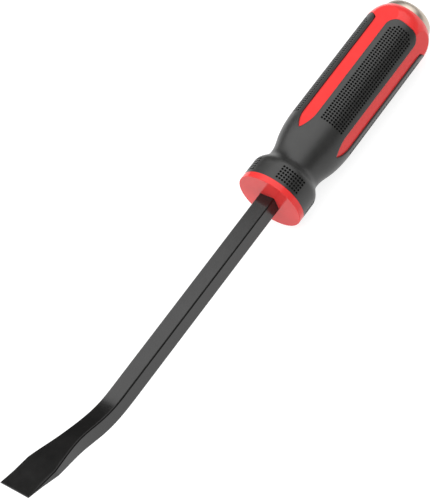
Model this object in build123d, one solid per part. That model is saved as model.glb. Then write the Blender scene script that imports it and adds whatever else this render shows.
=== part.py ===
# Square-bar pry bar: a forged steel bar with a cranked flat blade, a two-colour moulded
# handle round its tang, and a steel strike cap peened on the tang's end.
#
# Every piece is drawn about the bar's own axis, with x = 0 at the guard's front face,
# +X towards the strike cap and +Z the way the blade is cranked. The finished pieces are
# moved together so that the origin is the middle of the footprint, at the lowest point.

import os
from math import asin, pi, sin

from build123d import *

# ---- the bar ----
bar_size = 10.0              # square stock
bar_bevel = 0.5              # leg of the broken corners
shank_length = 133.6         # guard face to where the upper side leaves the axis
belly_lead = 5.4             # the underside leaves the axis this much sooner
crank_length = 33.6          # end of the straight shank to the blade's root
blade_length = 39.7          # root to tip
root_rise = 8.3              # root's upper side above the shank's upper side
root_thickness = 9.5
root_slope = 0.305           # upper side's rise per unit length at the root
belly_slope = 0.50           # underside's rise per unit length at the root
tip_rise = 22.95             # tip's middle above the bar's axis
tip_slope = 0.244            # upper side's rise per unit length at the tip
tip_thickness = 0.5
flare_lead = 10.7            # the blade begins to widen this much before its root
knee_to_tip = 19.1           # the sides stop widening this far from the tip
knee_width = 19.0
knee_slope = 0.18            # half-width's growth per unit length just before the knee
tip_width = 19.0
early_pull = 0.45            # how far each bend holds its first direction
late_pull = 0.35             # how far it holds its last direction

# ---- the tang inside the handle ----
notch_depth = 1.2            # key notches that lock the handle on the tang
notch_length = 7.0
notch_places = (34.0, 92.0)
spigot_radius = 3.75
head_flare = 1.45            # how much wider the peened head is than the spigot
head_depth = 1.8

# ---- the handle ----
handle_length = 132.8        # guard face to the flat that the cap sits over
handle_radius = 19.25
guard_thickness = 3.5        # red flange in front of the grip
guard_edge = 0.4             # rounding of the guard's front edge
collar_end = 12.9            # guard face to the end of the full-radius collar
neck_reach = 23.0            # guard face to the narrowest place
neck_radius = 15.1
flank_reach = 32.8           # a place half-way up the flank behind the neck
flank_share = 0.49           # of the way from the neck's radius to the full radius
body_start = 49.8            # guard face to where the body reaches full radius
dome_length = 10.55
dome_drop = 3.75             # how much the dome's end is smaller than the body

# ---- the soft grip on the core ----
grip_thickness = 2.8
rib_count = 4
moulding_turn = -3.2         # degrees that the moulded handle sits round from square
rib_width = 9.0              # red ribs that show between the panels
rib_sink = 1.55              # how far their flat faces lie below the grip's surface
rib_tip = 38.1               # guard face to the ribs' pointed front ends
rib_full = 49.5              # guard face to where the ribs reach full width
panel_margin = 10.35         # a panel's rear end to the handle's rear flat
panel_round = 6.35           # radius of that end's two corners

# ---- the strike cap ----
cap_step = 0.85              # how much smaller the cap is than the dome's end
cap_gap = 0.3                # shadow line between the core and the cap's rim
cap_height = 6.7
cap_rounding = 6.2
boss_radius = 8.0            # boss that reaches in to the tang's shoulder
boss_length = 6.1
boss_clearance = 0.05

# ---- worked out from the above ----
half_bar = bar_size / 2
belly_start = shank_length - belly_lead
root_reach = shank_length + crank_length
blade_reach = root_reach + blade_length
flare_start = root_reach - flare_lead
knee_reach = blade_reach - knee_to_tip
tang_length = handle_length - boss_length
dome_start = handle_length - dome_length
dome_end_radius = handle_radius - dome_drop
flank_radius = neck_radius + flank_share * (handle_radius - neck_radius)
panel_end = handle_length - panel_margin
panel_straight_end = panel_end - panel_round
panel_half_angle = pi / rib_count - asin(rib_width / 2 / handle_radius)
rib_height = handle_radius - rib_sink
panel_half_width = handle_radius * sin(panel_half_angle)
prism_base = 0.6 * handle_radius
cap_radius = dome_end_radius - cap_step
cap_start = handle_length + cap_gap
cap_end = cap_start + cap_height
beyond = 2 * handle_length   # long enough to pass every piece it cuts
to_origin = Location(((blade_reach - cap_end) / 2, 0, handle_radius))


def cylinder_between(x_from, x_to, radius):
    """A round bar on the axis between two places."""
    disc = Plane.YZ.offset(x_from) * Circle(radius)
    return extrude(disc, x_to - x_from)


def turned(outline):
    """The solid turned about the axis from a half outline closed along the axis."""
    return revolve(make_face(outline), Axis.X, 360)


def around(solid, first_angle):
    """One copy per rib or panel, evenly spread about the axis."""
    step = 360 / rib_count
    return [Rot(X=first_angle + index * step) * solid for index in range(rib_count)]


def bend(start, start_slope, end, end_slope):
    """A smooth run in the -X direction that leaves and arrives at the given slopes."""
    reach = start[0] - end[0]
    first = (start[0] - early_pull * reach, start[1] + early_pull * reach * start_slope)
    last = (end[0] + late_pull * reach, end[1] - late_pull * reach * end_slope)
    return Bezier(start, first, last, end)


def make_bar():
    # Side view: straight stock, a crank, then a wedge down to the thin tip.
    upper_start = (-shank_length, half_bar)
    lower_start = (-belly_start, -half_bar)
    upper_root = (-root_reach, half_bar + root_rise)
    lower_root = (-root_reach, half_bar + root_rise - root_thickness)
    upper_tip = (-blade_reach, tip_rise + tip_thickness / 2)
    lower_tip = (-blade_reach, tip_rise - tip_thickness / 2)
    with BuildSketch(Plane.XZ) as side:
        with BuildLine():
            Line((tang_length, half_bar), upper_start)
            bend(upper_start, 0, upper_root, root_slope)
            bend(upper_root, root_slope, upper_tip, tip_slope)
            Line(upper_tip, lower_tip)
            Line(lower_tip, lower_root)
            bend(lower_start, 0, lower_root, belly_slope)
            Line(lower_start, (tang_length, -half_bar))
            Line((tang_length, -half_bar), (tang_length, half_bar))
        make_face()
    # Plan view: the stock's width, a flare to the knee, then nearly parallel sides.
    flare = (-flare_start, half_bar)
    knee = (-knee_reach, knee_width / 2)
    with BuildSketch(Plane.XY) as plan:
        with BuildLine():
            Line((tang_length, 0), (tang_length, half_bar))
            Line((tang_length, half_bar), flare)
            bend(flare, 0, knee, knee_slope)
            Line(knee, (-blade_reach, tip_width / 2))
            Line((-blade_reach, tip_width / 2), (-blade_reach, 0))
            mirror(about=Plane.XZ)
        make_face()
    solid = extrude(side.sketch, tip_width, both=True)
    solid = solid & extrude(plan.sketch, tip_rise + bar_size, both=True)
    # Break the four corners that run along the straight stock.
    straight = [edge for edge in solid.edges()
                if edge.geom_type == GeomType.LINE and edge.length > belly_start]
    return chamfer(straight, bar_bevel)


def finish_bar(solid):
    # Key notches across both sides of the tang.
    for place in notch_places:
        for side in (-1, 1):
            middle = (place, side * half_bar, 0)
            solid -= Pos(*middle) * Box(notch_length, 2 * notch_depth, 2 * bar_size)
    # Round spigot through the cap, peened over at its end.
    solid += cylinder_between(tang_length, cap_end, spigot_radius)
    head_base = cap_end - head_depth
    head = [Polyline((head_base, 0), (head_base, spigot_radius),
                     (cap_end, spigot_radius + head_flare), (cap_end, 0), (head_base, 0))]
    return solid + turned(head)


def handle_outline(sunk, domed):
    # Half outline of the handle, lowered by the soft grip's thickness for the core.
    full = handle_radius - sunk
    edge = [Line((0, 0), (0, full - guard_edge)),
            TangentArc((guard_edge, full), (0, full - guard_edge), tangent=(-1, 0)),
            Line((guard_edge, full), (collar_end, full)),
            Spline((collar_end, full), (neck_reach, neck_radius - sunk),
                   tangents=[(1, 0), (1, 0)]),
            Spline((neck_reach, neck_radius - sunk), (flank_reach, flank_radius - sunk),
                   (body_start, full), tangents=[(1, 0), (1, 0)])]
    if domed:
        rim = (handle_length, dome_end_radius)
        edge += [Line((body_start, full), (dome_start, full)),
                 TangentArc((dome_start, full), rim, tangent=(1, 0)),
                 Line(rim, (handle_length, 0))]
    else:
        edge += [Line((body_start, full), (handle_length, full)),
                 Line((handle_length, full), (handle_length, 0))]
    return edge + [Line((handle_length, 0), (0, 0))]


def make_ribs():
    # Parallel-sided ribs with pointed front ends, one near each flat of the bar.
    half = rib_width / 2
    with BuildSketch() as rib:
        with BuildLine():
            TangentArc((rib_full, half), (rib_tip, 0), tangent=(-1, 0))
            Line((rib_full, half), (beyond, half))
            Line((beyond, half), (beyond, 0))
            mirror(about=Plane.XZ)
        make_face()
    return around(extrude(rib.sketch, 2 * handle_radius), moulding_turn)


def make_rib_flats():
    # What is planed off above the ribs; the flats run out on the dome.
    width = 2 * handle_radius
    block = Box(beyond, width, width, align=(Align.MIN, Align.CENTER, Align.MIN))
    return around(Pos(rib_tip, 0, rib_height) * block, moulding_turn)


def make_panel_ends():
    # Upright prisms with two round rear corners, one near each corner of the bar. They
    # start inside the core, far enough out to stay clear of one another.
    plate = RectangleRounded(4 * panel_round, 2 * panel_half_width, panel_round,
                             align=(Align.MAX, Align.CENTER))
    prism = extrude(Pos(panel_end, 0, prism_base) * plate, 2 * handle_radius)
    return around(prism, moulding_turn + 180 / rib_count)


def make_grip(envelope):
    core_blank = turned(handle_outline(grip_thickness, False))
    keep = cylinder_between(guard_thickness, panel_straight_end, 2 * handle_radius)
    for end in make_panel_ends():
        keep += end
    grip = (envelope - core_blank) & keep
    for rib in make_ribs():
        grip -= rib
    return grip


def make_cap(bar):
    # A rounded disc with a boss; the spigot's head fills its countersink.
    flat = cap_radius - cap_rounding
    crown = cap_end - cap_rounding
    outline = [Line((cap_start, 0), (cap_start, cap_radius)),
               Line((cap_start, cap_radius), (crown, cap_radius)),
               TangentArc((crown, cap_radius), (cap_end, flat), tangent=(1, 0)),
               Line((cap_end, flat), (cap_end, 0)),
               Line((cap_end, 0), (cap_start, 0))]
    cap = turned(outline) + cylinder_between(tang_length, cap_start, boss_radius)
    return cap - bar


def main():
    bar = finish_bar(make_bar())
    envelope = turned(handle_outline(0, True))
    grip = make_grip(envelope)
    cap = make_cap(bar)
    boss_pocket = cylinder_between(tang_length, beyond, boss_radius + boss_clearance)
    core = envelope - grip - bar - boss_pocket
    for flat in make_rib_flats():
        core -= flat
    pieces = {"bar": bar, "handle_core": core, "soft_grip": grip, "strike_cap": cap}
    os.makedirs("parts", exist_ok=True)
    for name, solid in pieces.items():
        export_step(to_origin * solid, "parts/" + name + ".step")
        box = (to_origin * solid).bounding_box()
        print(name, len(solid.solids()), "solid", round(solid.volume), "mm3", box.min, box.max)


main()
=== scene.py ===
import math
import bpy
import numpy as np
from mathutils import Matrix, Vector


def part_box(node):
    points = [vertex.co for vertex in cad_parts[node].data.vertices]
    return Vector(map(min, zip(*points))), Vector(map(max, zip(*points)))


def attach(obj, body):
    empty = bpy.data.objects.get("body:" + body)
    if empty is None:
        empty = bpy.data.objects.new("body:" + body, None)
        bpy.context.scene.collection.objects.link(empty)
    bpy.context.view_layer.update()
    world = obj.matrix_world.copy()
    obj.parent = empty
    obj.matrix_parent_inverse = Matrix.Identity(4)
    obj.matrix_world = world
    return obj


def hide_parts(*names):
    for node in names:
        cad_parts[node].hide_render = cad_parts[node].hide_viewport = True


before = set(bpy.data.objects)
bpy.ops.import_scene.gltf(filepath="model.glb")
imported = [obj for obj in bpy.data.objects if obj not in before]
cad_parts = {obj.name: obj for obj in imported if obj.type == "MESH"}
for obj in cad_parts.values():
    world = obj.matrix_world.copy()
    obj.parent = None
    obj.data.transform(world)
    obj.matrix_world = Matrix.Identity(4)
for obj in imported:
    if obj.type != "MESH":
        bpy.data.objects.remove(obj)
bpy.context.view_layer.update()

print("frame loaded:", ", ".join(sorted(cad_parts)))

mm = 0.001
coreLow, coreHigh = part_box("handle_core")
capLow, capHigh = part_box("strike_cap")
guardX = coreLow.x                          # the guard's front face
axisZ = (coreLow.z + coreHigh.z) / 2        # the bar's own axis
handleRadius = (coreHigh.z - coreLow.z) / 2 / mm
handleLength = (coreHigh.x - guardX) / mm
barReach = (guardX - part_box("bar")[0].x) / mm               # guard face to the blade's tip
collarFront = (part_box("soft_grip")[0].x - guardX) / mm      # guard face to the rubber's front
capEnd = (capHigh.x - guardX) / mm
capRadius = (capHigh.z - capLow.z) / 2 / mm

# Shapes are worked out in millimetres about the bar's axis, with x = 0 at the guard's
# face. An angle about the axis starts straight up and grows towards -y.


def onAxis(x, radius, angle):
    # a point at that distance from the axis, straight up at angle 0
    x, radius, angle = np.broadcast_arrays(x, radius, angle)
    return np.stack([x, -radius * np.sin(angle), radius * np.cos(angle)], -1)


# mesh helpers
def newShell():
    # lists that grow as a piece is worked out, block by block
    return {"points": [], "normals": [], "shade": [], "faces": [], "exact": [], "deep": [],
            "count": 0}


def addPoints(shell, points, normals=None, shade=0.0):
    # returns the numbers of the new points, in the shape of the grid they came in
    flat = np.asarray(points, float).reshape(-1, 3)
    shell["points"].append(flat)
    known = np.zeros_like(flat) if normals is None else np.asarray(normals, float).reshape(-1, 3)
    shell["normals"].append(known)
    shell["shade"].append(np.broadcast_to(shade, np.shape(points)[:-1]).reshape(-1).astype(float))
    start = shell["count"]
    shell["count"] += len(flat)
    return np.arange(start, start + len(flat)).reshape(np.shape(points)[:-1])


def addFaces(shell, faces, exact=False, deep=0.0):
    # exact faces take the normals that came with their points; deep marks the inside of a dimple,
    # which the rubber paints near black as shade
    faces = np.asarray(faces)
    if len(faces):
        shell["faces"].append(faces.reshape(-1, faces.shape[-1]))
        shell["exact"].append(exact)
        shell["deep"].append(deep)


def gridFaces(ids, flip=False, wrapRows=False, wrapCols=False):
    # quads between neighbouring rows and columns, facing along (column step) x (row step)
    if wrapRows:
        ids = np.concatenate([ids, ids[:1]], 0)
    if wrapCols:
        ids = np.concatenate([ids, ids[:, :1]], 1)
    quads = np.stack([ids[:-1, :-1], ids[:-1, 1:], ids[1:, 1:], ids[1:, :-1]], -1)
    return quads[..., ::-1] if flip else quads


def dropRepeats(rows):
    # a corner that equals the next one goes; what keeps fewer than three corners goes too
    repeated = rows == np.roll(rows, -1, axis=1)
    kept = rows.shape[1] - repeated.sum(1)
    return [rows[kept == n][~repeated[kept == n]].reshape(-1, n)
            for n in range(3, rows.shape[1] + 1)]


def buildPiece(name, shell, sharp):
    # welds points that coincide, drops faces that shrink away, and makes the mesh object;
    # edges steeper than the angle sharp stay sharp
    points = np.concatenate(shell["points"])
    normals = np.concatenate(shell["normals"])
    shade = np.concatenate(shell["shade"])
    weld = 0.002               # mm
    _, first, back = np.unique(np.round(points / weld).astype(np.int64), axis=0,
                               return_index=True, return_inverse=True)
    back = back.ravel()
    faces, exact, deep = [], [], []
    for block, isExact, howDeep in zip(shell["faces"], shell["exact"], shell["deep"]):
        for group in dropRepeats(back[block]):
            faces += group.tolist()
            exact += [isExact] * len(group)
            deep += [howDeep] * len(group)
    places = points[first] * mm + np.array([guardX, 0, axisZ])
    mesh = bpy.data.meshes.new(name)
    mesh.from_pydata(places.tolist(), [], faces)
    mesh.update()
    mesh.polygons.foreach_set("use_smooth", np.ones(len(faces), bool))
    mesh.set_sharp_from_angle(angle=math.radians(sharp))
    corner = np.empty(len(mesh.loops), np.int32)
    mesh.loops.foreach_get("vertex_index", corner)
    sizes = np.array([len(f) for f in faces])
    use = np.repeat(np.array(exact), sizes)
    if use.any():
        known = normals[first][corner] * use[:, None]
        mesh.normals_split_custom_set(known.tolist())
    layer = mesh.attributes.new("shade", "FLOAT", "POINT")
    layer.data.foreach_set("value", shade[first].astype(np.float32))
    layer = mesh.attributes.new("deep", "FLOAT", "FACE")
    layer.data.foreach_set("value", np.array(deep, np.float32))
    piece = bpy.data.objects.new(name, mesh)
    bpy.context.scene.collection.objects.link(piece)
    print("  ", name, len(mesh.vertices), "points", len(faces), "faces")
    return piece


def finishPiece(piece, node, material):
    # the piece takes its material, stands in for its node, which is hidden, and hangs under the root
    # body
    piece.data.materials.append(material)
    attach(piece, "root")
    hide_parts(node)


# the bar
barSet = {
    "half": 5.0,               # half the square stock
    "corner": 0.8,             # leg of the broken corners
    "cornerPower": 1.12,       # 1 is a flat chamfer, 2 a full round
    "cornerPoints": 7,
    "cornerShare": 0.3,        # largest share of the thickness that a corner takes
    "upperStart": -133.6,      # the upper side leaves the axis here
    "lowerStart": -128.2,
    "root": -167.2,
    "rootTop": 13.3,
    "rootBottom": 3.8,
    "rootSlope": 0.305,
    "bellySlope": 0.50,
    "tipMiddle": 22.95,
    "tipSlope": 0.244,
    "tipThickness": 0.5,
    "flare": -156.5,           # the sides begin to spread here
    "knee": -187.8,            # and stop here
    "bladeHalf": 9.5,
    "kneeSlope": 0.18,
    "earlyPull": 0.45,
    "latePull": 0.35,
    "notches": (34.0, 92.0),
    "notchLength": 7.0,
    "notchDepth": 1.2,
    "tangEnd": 126.7,
    "spigot": 3.75,
    "headDepth": 1.8,
    "headFlare": 1.45,
    "headRim": ((0.25, 0.20), (0.07, 0.25), (0.0, 0.45)),     # depth and inset of its rounding
    "headDish": ((0.0, 0.6), (0.04, 0.3), (0.05, 0.0)),       # depth and share of the radius
    "curvePoints": 240,
    "bendStart": -122.0,       # rows stand close together from here to the tip
    "bendRows": 120,
    "straightStep": 6.1,
    "tangRows": (20.0, 60.0, 110.0),
    "kneeEase": 0.5,           # the knee is softened over this much each way
    "notchEase": 0.01,
    "tipRows": (0.0, 0.04, 0.14, 0.35),
    "tipInset": (0.16, 0.07, 0.02),       # the tip's edge is barely broken
}


def bend(start, startSlope, end, endSlope, s):
    # cubic curve towards -x that leaves and arrives at the given slopes
    reach = start[0] - end[0]
    first = (start[0] - s["earlyPull"] * reach, start[1] + s["earlyPull"] * reach * startSlope)
    last = (end[0] + s["latePull"] * reach, end[1] - s["latePull"] * reach * endSlope)
    t = np.linspace(0, 1, s["curvePoints"])[:, None]
    return ((1 - t) ** 3 * np.array(start) + 3 * (1 - t) ** 2 * t * np.array(first)
            + 3 * (1 - t) * t ** 2 * np.array(last) + t ** 3 * np.array(end))


def barSides(x, s):
    # top, bottom and half width of the bar at each x, read from its three outline curves
    tipTop = s["tipMiddle"] + s["tipThickness"] / 2
    tipBottom = s["tipMiddle"] - s["tipThickness"] / 2
    crank = bend((s["upperStart"], s["half"]), 0, (s["root"], s["rootTop"]), s["rootSlope"], s)
    blade = bend((s["root"], s["rootTop"]), s["rootSlope"], (-barReach, tipTop), s["tipSlope"], s)
    belly = bend((s["lowerStart"], -s["half"]), 0, (s["root"], s["rootBottom"]), s["bellySlope"], s)
    spread = bend((s["flare"], s["half"]), 0, (s["knee"], s["bladeHalf"]), s["kneeSlope"], s)
    upper = np.concatenate([crank, blade])[::-1]
    lower = np.concatenate([belly, [(-barReach, tipBottom)]])[::-1]
    spread = spread[::-1]
    top = np.interp(x, upper[:, 0], upper[:, 1])
    bottom = np.interp(x, lower[:, 0], lower[:, 1])
    half = np.interp(x, spread[:, 0], spread[:, 1])
    for place in s["notches"]:
        half = np.where(abs(x - place) < s["notchLength"] / 2, half - s["notchDepth"], half)
    return top, bottom, half


def makeBar(s):
    # A bevelled rectangle carried along the bar. Its corners are quarter superellipses,
    # and its top, bottom and half width come from the outline curves.
    straight = np.arange(s["bendStart"], s["straightStep"] / 2, s["straightStep"])
    tip = -barReach + np.array(s["tipRows"])
    bends = np.linspace(tip[-1], s["bendStart"], s["bendRows"])
    knee = s["knee"] + np.array([-s["kneeEase"], 0, s["kneeEase"]])
    notch = np.array([place + side * s["notchLength"] / 2 + step for place in s["notches"]
                      for side in (-1, 1) for step in (-s["notchEase"], s["notchEase"])])
    x = np.unique(np.concatenate([tip, bends, knee, straight, notch, s["tangRows"], [s["tangEnd"]]]))
    top, bottom, half = barSides(x, s)
    broken = slice(0, len(s["tipInset"]))
    top[broken] -= s["tipInset"]
    bottom[broken] += s["tipInset"]
    half[broken] -= s["tipInset"]
    leg = np.minimum(s["corner"], s["cornerShare"] * (top - bottom))[:, None]
    t = np.linspace(0, math.pi / 2, s["cornerPoints"])
    away = 1 - np.cos(t) ** (2 / s["cornerPower"])
    along = 1 - np.sin(t) ** (2 / s["cornerPower"])
    side = -half[:, None] + leg * along
    above, below = top[:, None] - leg * away, bottom[:, None] + leg * away
    y = np.concatenate([side, side[:, ::-1], -side, -side[:, ::-1]], 1)
    z = np.concatenate([above, below[:, ::-1], below, above[:, ::-1]], 1)
    section = np.stack([np.broadcast_to(x[:, None], y.shape), y, z], -1)
    # normals turn from one flat's to the next round a corner, and lean with the slope along x
    swell = 2 * (1 - 1 / s["cornerPower"])
    flatwise, sidewise = np.cos(t) ** swell, np.sin(t) ** swell
    flatwise[-1] = 0
    ny = np.concatenate([-sidewise, -sidewise[::-1], sidewise, sidewise[::-1]])
    nz = np.concatenate([flatwise, -flatwise[::-1], -flatwise, flatwise[::-1]])
    lean = -(ny * np.gradient(y, x, axis=0) + nz * np.gradient(z, x, axis=0))
    normals = np.stack([lean, np.broadcast_to(ny, y.shape), np.broadcast_to(nz, y.shape)], -1)
    normals /= np.linalg.norm(normals, axis=-1, keepdims=True)
    corner = np.tile(np.sin(np.linspace(0, math.pi, s["cornerPoints"])), 4)    # for the wear
    shell = newShell()
    ids = addPoints(shell, section, normals, shade=np.broadcast_to(corner, y.shape))
    addFaces(shell, gridFaces(ids, wrapCols=True), exact=True)
    addFaces(shell, ids[:1, ::-1])                        # the tip's end
    # the tang's shoulder, the spigot and its peened head: rings about the axis
    turn = np.arctan2(-y[-1], z[-1])
    headBase = capEnd - s["headDepth"]
    rim = s["spigot"] + s["headFlare"]
    rings = [(s["tangEnd"], s["spigot"]), (headBase, s["spigot"])]
    rings += [(capEnd - depth, rim - inset) for depth, inset in s["headRim"]]
    rings += [(capEnd - depth, rim * share) for depth, share in s["headDish"]]
    place = np.array(rings)
    lathe = onAxis(place[:, :1], place[:, 1:], turn[None, :])
    more = addPoints(shell, lathe)
    addFaces(shell, gridFaces(np.concatenate([ids[-1:], more], 0), wrapCols=True))
    return buildPiece("barSteel", shell, sharp=35)


# the handle's outline
outlineSet = {
    "collarEnd": 12.9,
    "neck": (23.0, 15.1),
    "flank": (32.8, 0.49),     # place, and share of the way back to the full radius
    "bodyStart": 49.8,
    "domeStart": 122.25,
    "domeEnd": 15.5,
    "collarPull": 1.306,       # how stiffly the neck's curves hold level
    "neckPull": 1.207,
    "bodyPull": 1.074,
    "curvePoints": 60,
}


def hermite(a, b, leave, arrive):
    # cubic curve between two points with a direction at each
    t = np.linspace(0, 1, outlineSet["curvePoints"])[:, None]
    return ((2 * t ** 3 - 3 * t ** 2 + 1) * a + (t ** 3 - 2 * t ** 2 + t) * leave
            + (3 * t ** 2 - 2 * t ** 3) * b + (t ** 3 - t ** 2) * arrive)


def neckCurve(s):
    # collar to neck is one cubic, neck to flank to body two with equal bending where they meet
    full = handleRadius
    a = np.array([s["collarEnd"], full])
    b = np.array(s["neck"])
    c = np.array([s["flank"][0], b[1] + s["flank"][1] * (full - b[1])])
    d = np.array([s["bodyStart"], full])
    ab, bc, cd = (np.linalg.norm(q - p) for p, q in ((a, b), (b, c), (c, d)))
    level = np.array([1.0, 0.0])
    pull = level * s["collarPull"] * ab
    leave, arrive = level * s["neckPull"], level * s["bodyPull"]
    middle = 3 * ((c - b) / bc ** 2 + (d - c) / cd ** 2) - leave / bc - arrive / cd
    middle = middle / (2 / bc + 2 / cd)
    return np.concatenate([hermite(a, b, pull, pull), hermite(b, c, leave * bc, middle * bc)[1:],
                           hermite(c, d, middle * cd, arrive * cd)[1:]])


neckPoints = neckCurve(outlineSet)


def outerRadius(x):
    # full radius, the neck's curve, and the dome's arc, tangent to the body
    s = outlineSet
    radius = np.interp(x, neckPoints[:, 0], neckPoints[:, 1])
    drop = handleRadius - s["domeEnd"]
    length = handleLength - s["domeStart"]
    bow = (length ** 2 + drop ** 2) / (2 * drop)
    past = np.clip(x - s["domeStart"], 0, length)
    return radius - (bow - np.sqrt(bow ** 2 - past ** 2))


# soft grip
gripSet = {
    "thickness": 2.8,
    "edge": 0.28,              # rounding of the rubber's lips
    "turn": -3.2,              # degrees that the moulding sits round from the bar
    "ribTip": 38.1,
    "ribFull": 49.5,
    "ribHalf": 4.5,
    "endStart": 116.1,         # the panels' two rear corners begin here
    "endRound": 6.35,          # and have this radius
    "pitStart": 47.54,         # body dimples: first cell's edge
    "pitPitch": 1.704,
    "pitColumns": 42,
    "pitRows": 9,
    "pitAngle": 5.08,          # degrees from row to row
    "collarStart": 4.96,       # collar dimples
    "collarPitch": 1.797,
    "collarColumns": 5,
    "pitRadius": 0.66,
    "pitFloor": 0.58,
    "pitSides": 12,
    "pitCut": (2, 1, 0, 0, 0, 0, 0, 1, 2),     # dimples left out at the end of each row
    "pitDepth": 1.1,
    "lipSteps": 4,
    "neckRows": 34,
    "ogiveRows": 14,
    "ribGap": (0.6, 1.8),      # the even rows leave this much free about the rib's tip
    "ribRows": (-0.35, -0.2, -0.1, 0.0, 0.06, 0.15, 0.3, 0.5, 0.8, 1.2),
    "marginLines": 4,
    "endFill": (0.3, 0.65),
    "probe": 0.004,            # step for reading slopes off the surface
}


def ribHalf(x, s):
    # ogive: an arc from the tip that is tangent to the rib's straight side
    run = s["ribFull"] - s["ribTip"]
    bow = (run ** 2 + s["ribHalf"] ** 2) / (2 * s["ribHalf"])
    back = np.clip(s["ribFull"] - x, 0, run)
    return np.sqrt(bow ** 2 - back ** 2) - bow + s["ribHalf"]


def panelSide(x, s, radius=None):
    # angle from a panel's middle to its side, at the surface or at another radius
    quarter = math.pi / 4
    opening = np.arcsin(ribHalf(x, s) / (outerRadius(x) if radius is None else radius))
    return np.where(x > s["ribTip"], quarter - opening, quarter)


def cornerStart(s):
    # how far from a panel's middle its two rear corners begin to round
    widest = handleRadius * math.sin(float(panelSide(np.array(s["endStart"]), s)))
    return widest - s["endRound"]


def panelEnd(angle, s):
    # x of the panel's rear end at that angle from its middle: straight between round corners
    past = abs(handleRadius * np.sin(angle)) - cornerStart(s)
    return s["endStart"] + np.sqrt(s["endRound"] ** 2 - np.clip(past, 0, s["endRound"]) ** 2)


def edgeDistance(x, angle, s):
    # distance over the surface to the rubber's nearest lip
    front = x - collarFront
    radius = outerRadius(x)
    near = np.clip(x, s["ribTip"], s["ribFull"])
    h = s["probe"]
    slope = (ribHalf(near + h, s) - ribHalf(near - h, s)) / (2 * h)
    side = radius * (panelSide(x, s) - abs(angle)) / np.sqrt(1 + slope ** 2)
    ahead = np.hypot(np.minimum(x - s["ribTip"], 0), radius * (math.pi / 4 - abs(angle)))
    side = np.where(x > s["ribTip"], side, ahead)
    past = np.maximum(abs(radius * np.sin(angle)) - cornerStart(s), 0)
    end = s["endRound"] - np.hypot(np.maximum(x - s["endStart"], 0), past)
    end = np.where(x > s["endStart"], end, side)
    return np.maximum(np.minimum(np.minimum(front, side), end), 0)


def gripSurface(x, angle, s):
    # the handle's outline, rounded down towards the rubber's lips by a quarter circle
    lean = np.arcsin(np.clip(1 - edgeDistance(x, angle, s) / s["edge"], 0, 1))
    return outerRadius(x) - s["edge"] * (1 - np.cos(lean)), lean


def gripNormals(x, angle, middle, s):
    # the outline's own normal, tipped outwards at the lips by the rounding's angle
    h = s["probe"]
    tilt = h / handleRadius
    slope = (outerRadius(x + h) - outerRadius(x - h)) / (2 * h)
    _, lean = gripSurface(x, angle, s)
    gx = edgeDistance(x + h, angle, s) - edgeDistance(x - h, angle, s)
    ga = edgeDistance(x, angle + tilt, s) - edgeDistance(x, angle - tilt, s)
    ga = ga * handleRadius / outerRadius(x)
    size = np.maximum(np.hypot(gx, ga), 1e-9)
    gx, ga = gx / size, ga / size
    turn = middle + angle
    across = np.stack([0 * x, -np.cos(turn), -np.sin(turn)], -1)
    along = np.stack([0 * x + 1, -slope * np.sin(turn), slope * np.cos(turn)], -1)
    along /= np.linalg.norm(along, axis=-1, keepdims=True)
    face = np.cross(across, along)
    tip = -(gx[..., None] * along + ga[..., None] * across)
    n = np.cos(lean)[..., None] * face + np.sin(lean)[..., None] * tip
    return n / np.linalg.norm(n, axis=-1, keepdims=True)


def gripLines(s):
    # One panel's grid: rows along x and lines about the axis. Cell edges of the dimples
    # are lines of the grid, and lines past them spread to the panel's side and end.
    edge = s["edge"]
    soft = edge * (1 - np.cos(np.linspace(0, math.pi / 2, s["lipSteps"])))
    collar = s["collarStart"] + s["collarPitch"] * np.arange(s["collarColumns"] + 1)
    neck = np.linspace(collar[-1], s["ribTip"] - s["ribGap"][0], s["neckRows"])[1:]
    tip = s["ribTip"] + np.array(s["ribRows"])
    ogive = np.linspace(s["ribTip"] + s["ribGap"][1], s["pitStart"], s["ogiveRows"])
    body = s["pitStart"] + s["pitPitch"] * np.arange(1, s["pitColumns"] + 1)
    rows = np.concatenate([collarFront + soft, collar, neck, tip, ogive, body])
    half = math.radians(s["pitAngle"]) * s["pitRows"] / 2
    cells = np.linspace(-half, half, s["pitRows"] + 1)
    side = panelSide(np.minimum(rows, s["endStart"]), s)[:, None]
    lip = side - soft[None, :] / outerRadius(rows)[:, None]
    share = np.linspace(0, 1, s["marginLines"] + 2)[1:-1]
    margin = half + (lip[:, -1:] - half) * share
    right = np.concatenate([margin, lip[:, ::-1]], 1)
    cells = np.broadcast_to(cells, (len(rows), len(cells)))
    angle = np.concatenate([-right[:, ::-1], cells, right], 1)
    x = np.broadcast_to(rows[:, None], angle.shape).copy()
    # past the panel's straight side each line runs to its own place on the rounded end
    hold = rows[rows < s["endStart"]][-1]
    stop = panelEnd(angle[-1], s)
    limit = panelEnd(np.array(half), s)
    share = (stop - hold) / (limit - hold)
    share = np.where(abs(angle[-1]) > half + 1e-6, share, 1)
    late = x > hold
    x = np.where(late, hold + (x - hold) * share[None, :], x)
    fill = np.array(s["endFill"])[:, None]
    start = x[-1]
    extra = start + np.maximum(stop - edge - start, 0) * fill
    lips = np.minimum(stop - soft[::-1][:, None], stop)
    lips = start + (lips - start).clip(0)
    lips[-1] = stop
    x = np.concatenate([x, np.minimum(extra, stop), lips])
    angle = np.pad(angle, ((0, len(x) - len(angle)), (0, 0)), mode="edge")
    return x, angle, {"collarRow": len(soft), "bodyRow": len(rows) - len(body) - 1,
                      "firstCell": len(right[0])}


def pitPatch(columns, firstRow, firstLine, s):
    # row and line number of each cell in one patch of dimples
    column, row = np.meshgrid(np.arange(columns), np.arange(s["pitRows"]), indexing="ij")
    return np.stack([column.ravel() + firstRow, row.ravel() + firstLine], -1)


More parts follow.
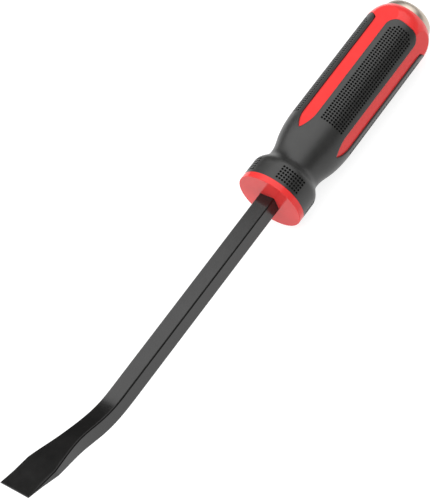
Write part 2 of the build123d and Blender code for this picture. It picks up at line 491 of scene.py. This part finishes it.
def pitCells(s, where):
    # the collar's patch and the body's, whose two rear corners are rounded off
    collar = pitPatch(s["collarColumns"], where["collarRow"], where["firstCell"], s)
    body = pitPatch(s["pitColumns"], where["bodyRow"], where["firstCell"], s)
    cut = np.array(s["pitCut"])[body[:, 1] - where["firstCell"]]
    keep = body[:, 0] - where["bodyRow"] < s["pitColumns"] - cut
    return np.concatenate([collar, body[keep]])


def addPits(shell, ids, x, angle, cells, middle, s):
    # each dimple is a tapered pit of twelve sides, with four faces between it and its cell
    i, j = cells[:, 0], cells[:, 1]
    cx = (x[i, j] + x[i + 1, j + 1]) / 2
    ca = (angle[i, j] + angle[i + 1, j + 1]) / 2
    sides = s["pitSides"]
    perCorner = sides // 4
    around = (np.arange(sides) + 0.5) * 2 * math.pi / sides
    radius = outerRadius(cx)[:, None]

    def ring(size, depth):
        px = cx[:, None] + size * np.cos(around)
        pa = ca[:, None] + size * np.sin(around) / radius
        return px, pa, onAxis(px, outerRadius(px) - depth, middle + pa)

    px, pa, rimPoints = ring(s["pitRadius"], 0.0)
    rim = addPoints(shell, rimPoints, gripNormals(px, pa, middle, s))
    floor = addPoints(shell, ring(s["pitFloor"], s["pitDepth"])[2])
    corners = np.stack([ids[i + 1, j], ids[i + 1, j + 1], ids[i, j + 1], ids[i, j]], -1)
    for side in range(4):
        inner = [(perCorner * side + 1 - k) % sides for k in range(perCorner + 1)]
        border = np.concatenate([corners[:, [side, (side + 1) % 4]], rim[:, inner]], 1)
        addFaces(shell, border[:, ::-1], exact=True)
    following = np.roll(np.arange(sides), -1)
    # the dimple's walls and floor, marked deep: the rubber paints them near black as shade
    addFaces(shell, np.stack([rim[:, following], rim, floor, floor[:, following]], -1), deep=1.0)
    addFaces(shell, floor[:, ::-1], deep=1.0)


def makeGrip(s):
    # four panels that share their sides along the neck, each with an outer surface,
    # a wall down to the core along every lip, and an inner surface
    shell = newShell()
    x, angle, where = gripLines(s)
    cells = pitCells(s, where)
    radius, _ = gripSurface(x, angle, s)
    under = np.interp(x, neckPoints[:, 0], neckPoints[:, 1]) - s["thickness"]
    lean = panelSide(x, s, under) / panelSide(x, s)       # the walls stand parallel to the ribs
    taken = np.zeros((x.shape[0] - 1, x.shape[1] - 1), bool)
    taken[cells[:, 0], cells[:, 1]] = True
    for quarter in range(4):
        middle = math.radians(s["turn"] + 45 + 90 * quarter)
        normals = gripNormals(x, angle, middle, s)
        outer = addPoints(shell, onAxis(x, radius, middle + angle), normals)
        addFaces(shell, gridFaces(outer)[~taken], exact=True)
        addPits(shell, outer, x, angle, cells, middle, s)
        inner = addPoints(shell, onAxis(x, under, middle + lean * angle))
        addFaces(shell, gridFaces(inner, flip=True))
        split = np.nonzero(x[:, 0] >= s["ribTip"] - 1e-6)[0]      # rows where panels part
        addFaces(shell, gridFaces(np.stack([inner[0], outer[0]])))
        addFaces(shell, gridFaces(np.stack([outer[-1], inner[-1]])))
        addFaces(shell, gridFaces(np.stack([outer[split, 0], inner[split, 0]])))
        addFaces(shell, gridFaces(np.stack([inner[split, -1], outer[split, -1]])))
    return buildPiece("gripRubber", shell, sharp=50)


# strike cap
capSet = {
    "rim": 133.1,              # the cap's rim, just clear of the dome
    "rounding": 6.2,
    "rimEdge": 0.25,
    "boss": 8.0,
    "hole": 3.75,
    "sinkDepth": 1.8,
    "sinkFlare": 1.45,
    "sinkEdge": 0.2,
    "sinkBorder": 1.2,         # a ring on the flat, this far outside the countersink
    "arcPoints": 13,
    "segments": 128,
}


def makeCap(s):
    # a closed outline turned about the axis: boss, rim, crown arc, flat and countersink
    quarter = np.linspace(0, math.pi / 2, s["arcPoints"])
    crownX = capEnd - s["rounding"] + s["rounding"] * np.sin(quarter)
    crownR = capRadius - s["rounding"] + s["rounding"] * np.cos(quarter)
    coarse = quarter[::4]
    lipX = s["rim"] + s["rimEdge"] * (1 - np.cos(coarse))
    lipR = capRadius - s["rimEdge"] * (1 - np.sin(coarse))
    sink = s["hole"] + s["sinkFlare"]
    ends = [(capEnd, sink + s["sinkBorder"]), (capEnd, sink + s["sinkEdge"]),
            (capEnd - s["sinkEdge"], sink), (capEnd - s["sinkDepth"], s["hole"]),
            (barSet["tangEnd"], s["hole"]), (barSet["tangEnd"], s["boss"]), (s["rim"], s["boss"])]
    outline = np.concatenate([np.stack([lipX, lipR], -1), np.stack([crownX, crownR], -1), ends])
    turn = np.linspace(0, 2 * math.pi, s["segments"], endpoint=False)
    shell = newShell()
    ids = addPoints(shell, onAxis(outline[:, :1], outline[:, 1:], turn[None, :]))
    addFaces(shell, gridFaces(ids, wrapRows=True, wrapCols=True))
    return buildPiece("capSteel", shell, sharp=40)


# shader groups that the materials share
groupSet = {
    "broadShare": 0.09,        # scale of the broad noise against the fine one
    "chips": (0.45, 0.70),     # noise values between which wear sets in
    "lookingUp": (0.3, 1.0),   # dust lies where the normal's z is in this range
    "patches": (0.40, 0.75),
}


def newGroup(name, inputs, outputs):
    # an empty group with named sockets, and its two end nodes
    group = bpy.data.node_groups.new(name, "ShaderNodeTree")
    for label, kind, value in inputs:
        socket = group.interface.new_socket(name=label, in_out="INPUT", socket_type=kind)
        if value is not None:
            socket.default_value = value
    for label, kind in outputs:
        group.interface.new_socket(name=label, in_out="OUTPUT", socket_type=kind)
    return group, group.nodes.new("NodeGroupInput"), group.nodes.new("NodeGroupOutput")


def addNode(tree, kind, settings=None, **sockets):
    # a node whose sockets are given a value or another node's socket: in a socket's name _
    # stands for a space, and i2 is the socket with number 2
    node = tree.nodes.new(kind)
    for label, value in (settings or {}).items():
        setattr(node, label, value)
    for label, value in sockets.items():
        key = int(label[1:]) if label[0] == "i" and label[1:].isdigit() else label.replace("_", " ")
        if isinstance(value, bpy.types.NodeSocket):
            tree.links.new(value, node.inputs[key])
        else:
            node.inputs[key].default_value = value
    return node


def makeGrain(s):
    # two sizes of soft noise added together, for moulded and painted skins
    g, a, b = newGroup("fineGrain", [("Vector", "NodeSocketVector", None),
                                     ("Scale", "NodeSocketFloat", 1000.0),
                                     ("Contrast", "NodeSocketFloat", 0.5)],
                       [("Height", "NodeSocketFloat"), ("Broad", "NodeSocketFloat")])
    fine = addNode(g, "ShaderNodeTexNoise", Vector=a.outputs["Vector"], Scale=a.outputs["Scale"],
                   Detail=3.0, Roughness=0.6)
    wide = addNode(g, "ShaderNodeMath", {"operation": "MULTIPLY"}, i0=a.outputs["Scale"],
                   i1=s["broadShare"])
    broad = addNode(g, "ShaderNodeTexNoise", Vector=a.outputs["Vector"], Scale=wide.outputs[0],
                    Detail=2.0)
    mixed = addNode(g, "ShaderNodeMix", i0=a.outputs["Contrast"], i2=broad.outputs["Fac"],
                    i3=fine.outputs["Fac"])
    g.links.new(mixed.outputs[0], b.inputs["Height"])
    g.links.new(broad.outputs["Fac"], b.inputs["Broad"])
    return g


def makeWear(s):
    # an edge mask broken up by noise, so that wear comes and goes along the edge
    g, a, b = newGroup("edgeWear", [("Vector", "NodeSocketVector", None),
                                    ("Edge", "NodeSocketFloat", 0.0),
                                    ("Scale", "NodeSocketFloat", 100.0),
                                    ("Amount", "NodeSocketFloat", 0.3)],
                       [("Mask", "NodeSocketFloat")])
    noise = addNode(g, "ShaderNodeTexNoise", Vector=a.outputs["Vector"], Scale=a.outputs["Scale"],
                    Detail=5.0, Roughness=0.65)
    chips = addNode(g, "ShaderNodeMapRange", Value=noise.outputs["Fac"], From_Min=s["chips"][0],
                    From_Max=s["chips"][1])
    edge = addNode(g, "ShaderNodeMath", {"operation": "MULTIPLY"}, i0=chips.outputs[0],
                   i1=a.outputs["Edge"])
    out = addNode(g, "ShaderNodeMath", {"operation": "MULTIPLY", "use_clamp": True},
                  i0=edge.outputs[0], i1=a.outputs["Amount"])
    g.links.new(out.outputs[0], b.inputs["Mask"])
    return g


def makeDust(s):
    # patches of dust that lie only where the surface looks up
    g, a, b = newGroup("settledDust", [("Vector", "NodeSocketVector", None),
                                       ("Scale", "NodeSocketFloat", 60.0),
                                       ("Amount", "NodeSocketFloat", 0.05)],
                       [("Mask", "NodeSocketFloat")])
    facing = addNode(g, "ShaderNodeNewGeometry")
    split = addNode(g, "ShaderNodeSeparateXYZ", Vector=facing.outputs["Normal"])
    up = addNode(g, "ShaderNodeMapRange", Value=split.outputs["Z"], From_Min=s["lookingUp"][0],
                 From_Max=s["lookingUp"][1])
    noise = addNode(g, "ShaderNodeTexNoise", Vector=a.outputs["Vector"], Scale=a.outputs["Scale"],
                    Detail=6.0, Roughness=0.7)
    patch = addNode(g, "ShaderNodeMapRange", Value=noise.outputs["Fac"],
                    From_Min=s["patches"][0], From_Max=s["patches"][1])
    both = addNode(g, "ShaderNodeMath", {"operation": "MULTIPLY"}, i0=up.outputs[0],
                   i1=patch.outputs[0])
    out = addNode(g, "ShaderNodeMath", {"operation": "MULTIPLY", "use_clamp": True},
                  i0=both.outputs[0], i1=a.outputs["Amount"])
    g.links.new(out.outputs[0], b.inputs["Mask"])
    return g


fineGrain, edgeWear, settledDust = makeGrain(groupSet), makeWear(groupSet), makeDust(groupSet)
print("shader groups built")


# materials
def newMaterial(name):
    # a material, its node tree, its shader and the Object coordinates
    material = bpy.data.materials.new(name)
    material.use_nodes = True
    tree = material.node_tree
    place = addNode(tree, "ShaderNodeTexCoord").outputs["Object"]
    return material, tree, tree.nodes["Principled BSDF"], place


def mixColor(tree, mask, first, second):
    # the first colour where the mask is 0, the second where it is 1
    return addNode(tree, "ShaderNodeMix", {"data_type": "RGBA"}, i0=mask, i6=first,
                   i7=second).outputs[2]


def useGroup(tree, group, **sockets):
    return addNode(tree, "ShaderNodeGroup", {"node_tree": group}, **sockets)


def joinTo(tree, skin, **sources):
    # joins each source to the shader's input of that name
    for label, source in sources.items():
        tree.links.new(source, skin.inputs[label.replace("_", " ")])


noiseLow, noiseHigh = 0.3, 0.7              # most of a noise's values lie between these


def spread(tree, mask, s):
    # roughness that runs from smooth to rough over the middle of a noise's values
    return addNode(tree, "ShaderNodeMapRange", Value=mask, From_Min=noiseLow, From_Max=noiseHigh,
                   To_Min=s["smooth"], To_Max=s["rough"]).outputs[0]


def relief(tree, height, s):
    # fine bumps, at most bumpHeight metres high
    return addNode(tree, "ShaderNodeBump", Strength=s["bump"], Distance=s["bumpHeight"],
                   Height=height).outputs[0]


def dusted(tree, place, tone, s):
    # the tone with a little dust over it
    dust = useGroup(tree, settledDust, Vector=place, Scale=s["dustScale"], Amount=s["dustAmount"])
    return mixColor(tree, dust.outputs["Mask"], tone, s["dust"])


steelSet = {
    "dark": (0.0042, 0.0041, 0.004, 1),
    "light": (0.0056, 0.0054, 0.0052, 1),
    "worn": (0.03, 0.029, 0.027, 1),
    "wearScale": 220.0,
    "wearAmount": 0.1,
    "dust": (0.2, 0.19, 0.18, 1),
    "dustScale": 90.0,
    "dustAmount": 0.02,
    "smooth": 0.17,
    "rough": 0.21,
    "ior": 1.52,
    "grain": 2600.0,
    "grainMix": 0.6,           # share of the fine noise in the grain
    "bump": 0.12,
    "bumpHeight": 0.00003,
}


def blackSteel(s):
    # black oxide: two close blacks in broad patches, a little paler where corners are worn
    m, tree, skin, place = newMaterial("blackSteel")
    grain = useGroup(tree, fineGrain, Vector=place, Scale=s["grain"], Contrast=s["grainMix"])
    corner = addNode(tree, "ShaderNodeAttribute", {"attribute_name": "shade"})
    wear = useGroup(tree, edgeWear, Vector=place, Edge=corner.outputs["Fac"], Scale=s["wearScale"],
                    Amount=s["wearAmount"])
    tone = mixColor(tree, grain.outputs["Broad"], s["dark"], s["light"])
    tone = mixColor(tree, wear.outputs["Mask"], tone, s["worn"])
    skin.inputs["IOR"].default_value = s["ior"]
    joinTo(tree, skin, Base_Color=dusted(tree, place, tone, s),
           Roughness=spread(tree, grain.outputs["Broad"], s),
           Normal=relief(tree, grain.outputs["Height"], s))
    return m


redSet = {
    "deep": (0.70, 0.038, 0.037, 1),
    "bright": (0.76, 0.044, 0.042, 1),
    "dust": (0.7, 0.55, 0.5, 1),
    "dustScale": 70.0,
    "dustAmount": 0.015,
    "ior": 1.30,
    "smooth": 0.14,
    "rough": 0.22,
    "ripple": 420.0,
    "rippleMix": 0.35,
    "bump": 0.10,
    "bumpHeight": 0.00006,
}


def redPlastic(s):
    # glossy moulded plastic with a faint ripple
    m, tree, skin, place = newMaterial("redPlastic")
    grain = useGroup(tree, fineGrain, Vector=place, Scale=s["ripple"], Contrast=s["rippleMix"])
    tone = mixColor(tree, grain.outputs["Broad"], s["deep"], s["bright"])
    skin.inputs["IOR"].default_value = s["ior"]
    joinTo(tree, skin, Base_Color=dusted(tree, place, tone, s),
           Roughness=spread(tree, grain.outputs["Broad"], s),
           Normal=relief(tree, grain.outputs["Height"], s))
    return m


rubberSet = {
    "dark": (0.017, 0.017, 0.0165, 1),
    "light": (0.023, 0.023, 0.0221, 1),
    # painted shade: the near black inside the dimples
    "pitShade": (0.0015, 0.0015, 0.0015, 1),
    "dust": (0.25, 0.24, 0.22, 1),
    "dustScale": 120.0,
    "dustAmount": 0.02,
    "smooth": 0.34,
    "rough": 0.42,
    "pitRough": 1.0,
    "grain": 3200.0,
    "grainMix": 0.7,
    "bump": 0.35,
    "bumpHeight": 0.00004,
}


def blackRubber(s):
    # satin rubber with a fine grain; the insides of the pits are painted near black as shade, and
    # dull
    m, tree, skin, place = newMaterial("blackRubber")
    grain = useGroup(tree, fineGrain, Vector=place, Scale=s["grain"], Contrast=s["grainMix"])
    pitShade = addNode(tree, "ShaderNodeAttribute", {"attribute_name": "deep"}).outputs["Fac"]
    tone = mixColor(tree, grain.outputs["Broad"], s["dark"], s["light"])
    # painted shade: the dimples' walls and floor turn near black, and dull
    tone = mixColor(tree, pitShade, dusted(tree, place, tone, s), s["pitShade"])
    dull = addNode(tree, "ShaderNodeMix", i0=pitShade, i2=spread(tree, grain.outputs["Height"], s),
                   i3=s["pitRough"])
    joinTo(tree, skin, Base_Color=tone, Roughness=dull.outputs[0],
           Normal=relief(tree, grain.outputs["Height"], s))
    return m


nickelSet = {
    "dark": (0.50, 0.435, 0.365, 1),
    "light": (0.61, 0.535, 0.45, 1),
    "smooth": 0.36,
    "rough": 0.46,
    "grain": 900.0,
    "grainMix": 0.5,
    "rings": 1500.0,
    "ringDetail": 4.0,
    "ringRough": 0.7,
    "bump": 0.15,
    "bumpHeight": 0.00003,
}


def satinNickel(s):
    # fine turning marks: noise read along the distance from the axis and along x
    m, tree, skin, place = newMaterial("satinNickel")
    split = addNode(tree, "ShaderNodeSeparateXYZ", Vector=place)
    height = addNode(tree, "ShaderNodeMath", {"operation": "SUBTRACT"}, i0=split.outputs["Z"],
                     i1=axisZ)
    flat = addNode(tree, "ShaderNodeCombineXYZ", Y=split.outputs["Y"], Z=height.outputs[0])
    away = addNode(tree, "ShaderNodeVectorMath", {"operation": "LENGTH"}, i0=flat.outputs[0])
    line = addNode(tree, "ShaderNodeCombineXYZ", X=split.outputs["X"], Y=away.outputs["Value"])
    marks = addNode(tree, "ShaderNodeTexNoise", Vector=line.outputs[0], Scale=s["rings"],
                    Detail=s["ringDetail"], Roughness=s["ringRough"]).outputs["Fac"]
    grain = useGroup(tree, fineGrain, Vector=place, Scale=s["grain"], Contrast=s["grainMix"])
    skin.inputs["Metallic"].default_value = 1.0
    joinTo(tree, skin, Base_Color=mixColor(tree, marks, s["dark"], s["light"]),
           Roughness=spread(tree, grain.outputs["Height"], s), Normal=relief(tree, marks, s))
    return m


# pieces
finishPiece(makeBar(barSet), "bar", blackSteel(steelSet))
finishPiece(makeGrip(gripSet), "soft_grip", blackRubber(rubberSet))
finishPiece(makeCap(capSet), "strike_cap", satinNickel(nickelSet))
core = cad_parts["handle_core"]
core.data.materials.clear()
core.data.materials.append(redPlastic(redSet))
print("pieces built")


# floor, light and camera
stageSet = {
    "floorHalf": 6.0,
    "floorColor": (0.25, 0.25, 0.25, 1),
    "floorRough": 0.7,
    "floorGlow": 0.85,         # light that the floor gives off itself
    "lightColor": (1, 1, 1, 1),
    "skyTop": 0.2,
    "skyLow": 0.05,
    "skyRise": (0.3, 0.8),     # heights between which the sky brightens
}


def addFloor(s):
    # one level square under the tool
    mesh = bpy.data.meshes.new("floor")
    h = s["floorHalf"]
    mesh.from_pydata([(-h, -h, 0), (h, -h, 0), (h, h, 0), (-h, h, 0)], [], [(0, 1, 2, 3)])
    floor = bpy.data.objects.new("floor", mesh)
    bpy.context.scene.collection.objects.link(floor)
    material, _, skin, _ = newMaterial("floorPaint")
    skin.inputs["Base Color"].default_value = s["floorColor"]
    skin.inputs["Roughness"].default_value = s["floorRough"]
    skin.inputs["Emission Color"].default_value = s["lightColor"]
    skin.inputs["Emission Strength"].default_value = s["floorGlow"]
    mesh.materials.append(material)


boxSet = {
    # level panels of light: x from and to, y from and to, height, brightness
    "ceiling": {"x": (-3.0, 0.78), "y": (-1.38, 3.2), "height": 1.5, "glow": 1.9},
    "rear": {"x": (0.79, 4.0), "y": (-1.45, 0.7), "height": 1.5, "glow": 1.8},
}


def addSoftbox(name, s):
    # a panel's power is its brightness times its area times pi
    light = bpy.data.lights.new(name, "AREA")
    light.shape = "RECTANGLE"
    light.size, light.size_y = s["x"][1] - s["x"][0], s["y"][1] - s["y"][0]
    light.energy = s["glow"] * math.pi * light.size * light.size_y
    panel = bpy.data.objects.new(name, light)
    panel.location = (sum(s["x"]) / 2, sum(s["y"]) / 2, s["height"])
    bpy.context.scene.collection.objects.link(panel)


def addSky(s):
    # dim round the horizon, brighter overhead
    world = bpy.data.worlds.new("studio")
    bpy.context.scene.world = world
    world.use_nodes = True
    tree = world.node_tree
    look = addNode(tree, "ShaderNodeTexCoord")
    split = addNode(tree, "ShaderNodeSeparateXYZ", Vector=look.outputs["Generated"])
    level = addNode(tree, "ShaderNodeMapRange", Value=split.outputs["Z"],
                    From_Min=s["skyRise"][0], From_Max=s["skyRise"][1],
                    To_Min=s["skyLow"], To_Max=s["skyTop"])
    tree.links.new(level.outputs[0], tree.nodes["Background"].inputs["Strength"])
    tree.nodes["Background"].inputs["Color"].default_value = s["lightColor"]


cameraSet = {
    "place": (-361.8, -554.0, 783.3),      # mm
    "right": (0.56869, -0.76649, -0.29846),
    "up": (0.74322, 0.32335, 0.58572),
    "lens": 140.41,
    "sensor": 36.0,
    "clip": (0.05, 20.0),
}


def addCamera(s):
    # its axes are squared up from the right and up directions
    right = Vector(s["right"]).normalized()
    up = Vector(s["up"])
    up = (up - right * up.dot(right)).normalized()
    back = right.cross(up)
    turn = Matrix((right, up, back)).transposed().to_4x4()
    lens = bpy.data.cameras.new("camera")
    lens.lens = s["lens"]
    lens.sensor_width = s["sensor"]
    lens.clip_start, lens.clip_end = s["clip"]
    camera = bpy.data.objects.new("camera", lens)
    camera.matrix_world = Matrix.Translation(Vector(s["place"]) * mm) @ turn
    bpy.context.scene.collection.objects.link(camera)
    bpy.context.scene.camera = camera


addFloor(stageSet)
for name, box in boxSet.items():
    addSoftbox(name, box)
addSky(stageSet)
addCamera(cameraSet)
bpy.context.scene.view_settings.view_transform = "Standard"
print("stage set")
